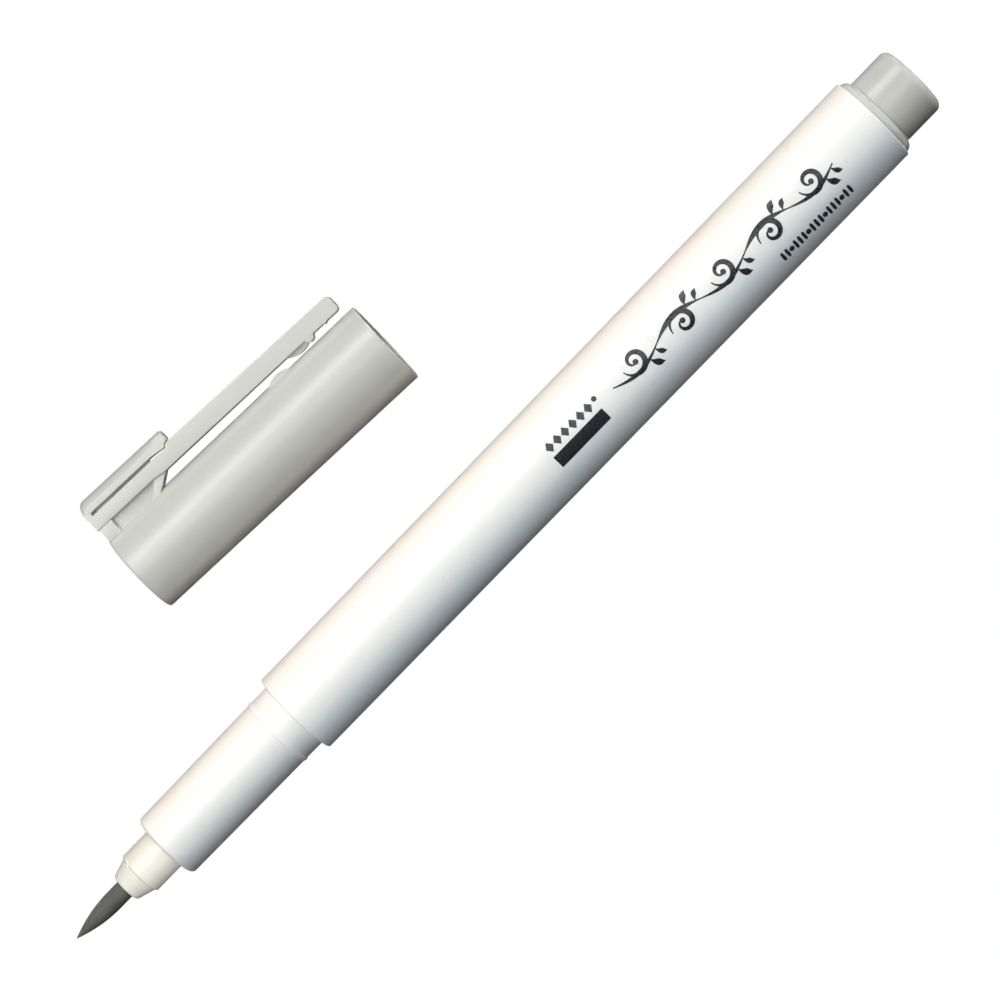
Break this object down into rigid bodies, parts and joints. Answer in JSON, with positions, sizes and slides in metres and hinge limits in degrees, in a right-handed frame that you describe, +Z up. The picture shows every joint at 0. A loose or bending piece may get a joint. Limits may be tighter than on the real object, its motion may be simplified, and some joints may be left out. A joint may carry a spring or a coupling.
{
  "type": "calligraphy marker",
  "caption": "Brush-tip calligraphy marker: round stepped barrel with a neck, a flexible felt brush, a rear plug that the cap posts on, and its clipped cap lying beside it.",
  "frame": {"origin": "centre of the footprint of pen and cap together, on the surface that they lie on", "axes": "+X along the pen from its brush to its tail, +Y from the pen towards the cap, +Z up"},
  "size_m": [0.1376, 0.0402, 0.0114],
  "materials": {
    "white_plastic": "satin moulded polypropylene with a dark printed ornament",
    "ivory_plastic": "smooth moulded polypropylene, slightly translucent",
    "grey_plastic": "satin moulded polypropylene, light warm grey",
    "brush_felt": "bonded fibre felt soaked in dark grey ink",
    "fibre_felt": "bundled polyester fibre soaked in ink",
    "clear_film": "thin smooth film",
    "seal_plastic": "soft unpigmented polyethylene"
  },
  "bodies": {
    "pen": {"barrel": "white_plastic", "nib_holder": "ivory_plastic", "brush_stem": "brush_felt", "ink_reservoir": "fibre_felt", "reservoir_film": "clear_film", "end_plug": "grey_plastic"},
    "brush": {"brush_tip": "brush_felt"},
    "cap": {"cap_shell": "grey_plastic", "cap_inner_seal": "seal_plastic"},
    "clip": {"clip_arm": "grey_plastic"}
  },
  "joints": [
    {"name": "cap_slide", "type": "slide", "parent": "pen", "child": "cap", "axis": [-0.9796, -0.201, 0], "range_m": [0, 0.1105]},
    {"name": "clip_flex", "type": "hinge", "parent": "cap", "child": "clip", "pos_m": [-0.02236, 0.01654, 0.00545], "axis": [0, 0, 1], "range_deg": [0, 4], "stiffness_Nm_per_rad": 0.3},
    {"name": "brush_flex", "type": "hinge", "parent": "pen", "child": "brush", "pos_m": [-0.06057, -0.0144, 0.00568], "axis": [0, 0, 1], "range_deg": [-18, 18], "stiffness_Nm_per_rad": 0.002}
  ]
}
